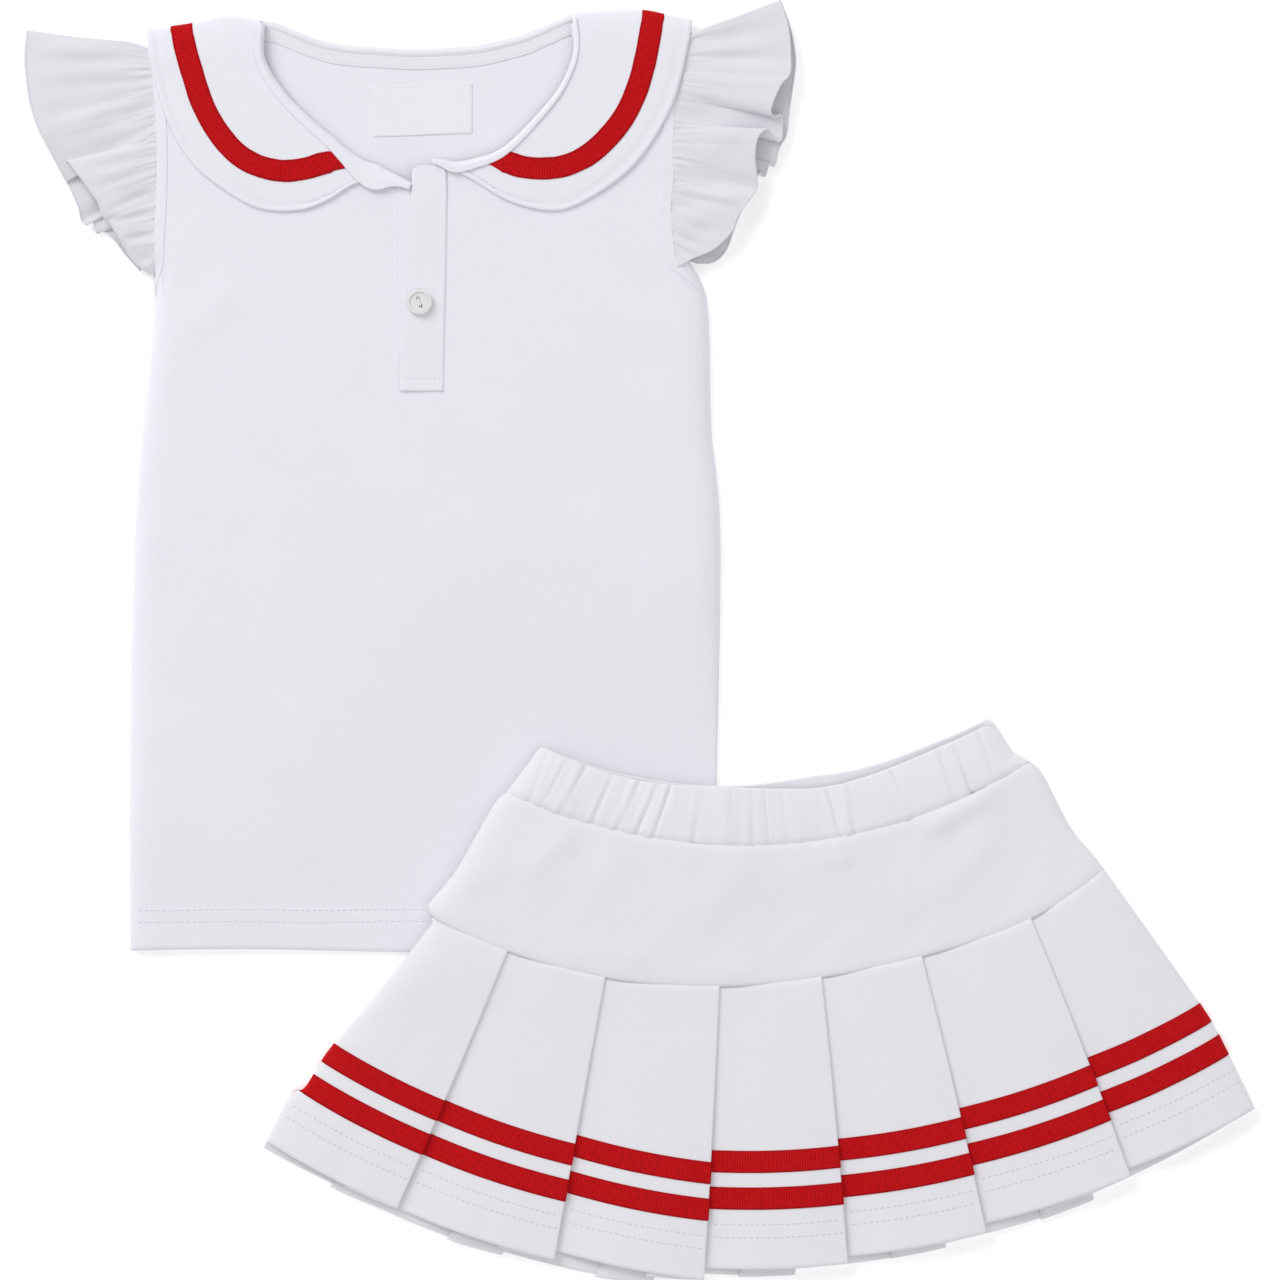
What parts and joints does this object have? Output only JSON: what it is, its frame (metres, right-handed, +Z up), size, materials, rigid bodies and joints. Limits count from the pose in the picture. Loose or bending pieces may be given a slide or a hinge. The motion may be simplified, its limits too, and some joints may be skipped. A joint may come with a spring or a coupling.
{
  "type": "cheer uniform",
  "caption": "Child's cheer uniform laid flat: sleeveless top with round collar, button placket and flutter sleeves, and a pleated skirt with elastic waist and ribbon stripes.",
  "frame": {"origin": "on the table, under the middle of the laid-out set", "axes": "+Z up from the table, +Y towards the top's neck, +X to the right as seen from above"},
  "size_m": [0.6128, 0.6395, 0.0144],
  "materials": {
    "white_knit": "matt cotton jersey",
    "pleat_fabric": "matt knit with pressed pleats",
    "binding_tape": "soft matt tape",
    "red_ribbon": "ribbed grosgrain with a slight sheen",
    "woven_label": "smooth satin weave",
    "elastic": "knitted elastic",
    "thread": "polyester thread",
    "button_shell": "pearly polish"
  },
  "bodies": {
    "top": {"armhole_binding_left": "binding_tape", "armhole_binding_right": "binding_tape", "back_panel": "white_knit", "care_label": "woven_label", "collar_back": "white_knit", "collar_ribbon_back": "red_ribbon", "front_panel": "white_knit", "neck_binding": "binding_tape", "neck_label": "woven_label", "placket_overlap": "white_knit", "placket_underlap": "white_knit"},
    "skirt": {"pleat_back_1": "pleat_fabric", "pleat_back_2": "pleat_fabric", "pleat_back_3": "pleat_fabric", "pleat_back_4": "pleat_fabric", "pleat_back_5": "pleat_fabric", "pleat_back_6": "pleat_fabric", "pleat_back_7": "pleat_fabric", "ribbon_back_1": "red_ribbon", "ribbon_back_2": "red_ribbon", "ribbon_back_3": "red_ribbon", "ribbon_back_4": "red_ribbon", "ribbon_back_5": "red_ribbon", "ribbon_back_6": "red_ribbon", "ribbon_back_7": "red_ribbon", "waist_elastic": "elastic", "waistband": "white_knit", "yoke_back": "white_knit", "yoke_front": "white_knit"},
    "collar_left": {"collar_left": "white_knit", "collar_ribbon_left": "red_ribbon"},
    "collar_right": {"collar_ribbon_right": "red_ribbon", "collar_right": "white_knit"},
    "placket_flap": {"placket_flap": "white_knit"},
    "button": {"button": "button_shell", "button_thread": "thread"},
    "sleeve_left": {"sleeve_left": "white_knit"},
    "sleeve_right": {"sleeve_right": "white_knit"},
    "pleat_1": {"pleat_front_1": "pleat_fabric", "ribbon_front_1": "red_ribbon"},
    "pleat_2": {"pleat_front_2": "pleat_fabric", "ribbon_front_2": "red_ribbon"},
    "pleat_3": {"pleat_front_3": "pleat_fabric", "ribbon_front_3": "red_ribbon"},
    "pleat_4": {"pleat_front_4": "pleat_fabric", "ribbon_front_4": "red_ribbon"},
    "pleat_5": {"pleat_front_5": "pleat_fabric", "ribbon_front_5": "red_ribbon"},
    "pleat_6": {"pleat_front_6": "pleat_fabric", "ribbon_front_6": "red_ribbon"},
    "pleat_7": {"pleat_front_7": "pleat_fabric", "ribbon_front_7": "red_ribbon"}
  },
  "joints": [
    {"name": "skirt_lift", "type": "slide", "parent": "top", "child": "skirt", "axis": [0, 0, 1], "range_m": [0, 0.12]},
    {"name": "collar_left_lift", "type": "hinge", "parent": "top", "child": "collar_left", "pos_m": [-0.206, 0.296, 0.009], "axis": [-0.6261, 0.7797, 0], "range_deg": [0, 75]},
    {"name": "collar_right_lift", "type": "hinge", "parent": "top", "child": "collar_right", "pos_m": [-0.019, 0.3, 0.009], "axis": [-0.6778, -0.7352, 0], "range_deg": [0, 75]},
    {"name": "placket_fold", "type": "hinge", "parent": "top", "child": "placket_flap", "pos_m": [-0.0965, 0.207, 0.0091], "axis": [0, 1, 0], "range_deg": [0, 75]},
    {"name": "button_turn", "type": "hinge", "parent": "top", "child": "button", "pos_m": [-0.11, 0.1685, 0.0091], "axis": [0, 0, 1], "range_deg": [-30, 30]},
    {"name": "sleeve_left_lift", "type": "hinge", "parent": "top", "child": "sleeve_left", "pos_m": [-0.2473, 0.294, 0.0074], "axis": [-0.0318, 0.9995, 0], "range_deg": [0, 60]},
    {"name": "sleeve_right_lift", "type": "hinge", "parent": "top", "child": "sleeve_right", "pos_m": [0.0272, 0.3, 0.0074], "axis": [-0.0595, -0.9982, 0], "range_deg": [0, 60]},
    {"name": "pleat_1_swing", "type": "hinge", "parent": "skirt", "child": "pleat_1", "pos_m": [-0.08583, -0.14446, 0.0126], "axis": [-0.9174, 0.3979, 0.0085], "range_deg": [0, 25]},
    {"name": "pleat_2_swing", "type": "hinge", "parent": "skirt", "child": "pleat_2", "pos_m": [-0.04135, -0.15986, 0.01222], "axis": [-0.9648, 0.263, 0.0079], "range_deg": [0, 25]},
    {"name": "pleat_3_swing", "type": "hinge", "parent": "skirt", "child": "pleat_3", "pos_m": [0.01112, -0.1694, 0.01182], "axis": [-0.9946, 0.1037, 0.0071], "range_deg": [0, 25]},
    {"name": "pleat_4_swing", "type": "hinge", "parent": "skirt", "child": "pleat_4", "pos_m": [0.065, -0.17081, 0.01146], "axis": [-0.9982, -0.0602, 0.006], "range_deg": [0, 25]},
    {"name": "pleat_5_swing", "type": "hinge", "parent": "skirt", "child": "pleat_5", "pos_m": [0.11557, -0.16379, 0.01118], "axis": [-0.9768, -0.2139, 0.0049], "range_deg": [0, 25]},
    {"name": "pleat_6_swing", "type": "hinge", "parent": "skirt", "child": "pleat_6", "pos_m": [0.16728, -0.14763, 0.01095], "axis": [-0.9285, -0.3714, 0.0036], "range_deg": [0, 25]},
    {"name": "pleat_7_swing", "type": "hinge", "parent": "skirt", "child": "pleat_7", "pos_m": [0.2119, -0.12644, 0.0108], "axis": [-0.8624, -0.5062, 0.0023], "range_deg": [0, 25]}
  ],
  "couplings": [
    {"joint": "pleat_1_swing", "follows": "pleat_4_swing", "ratio": 1},
    {"joint": "pleat_2_swing", "follows": "pleat_4_swing", "ratio": 1},
    {"joint": "pleat_3_swing", "follows": "pleat_4_swing", "ratio": 1},
    {"joint": "pleat_5_swing", "follows": "pleat_4_swing", "ratio": 1},
    {"joint": "pleat_6_swing", "follows": "pleat_4_swing", "ratio": 1},
    {"joint": "pleat_7_swing", "follows": "pleat_4_swing", "ratio": 1}
  ]
}
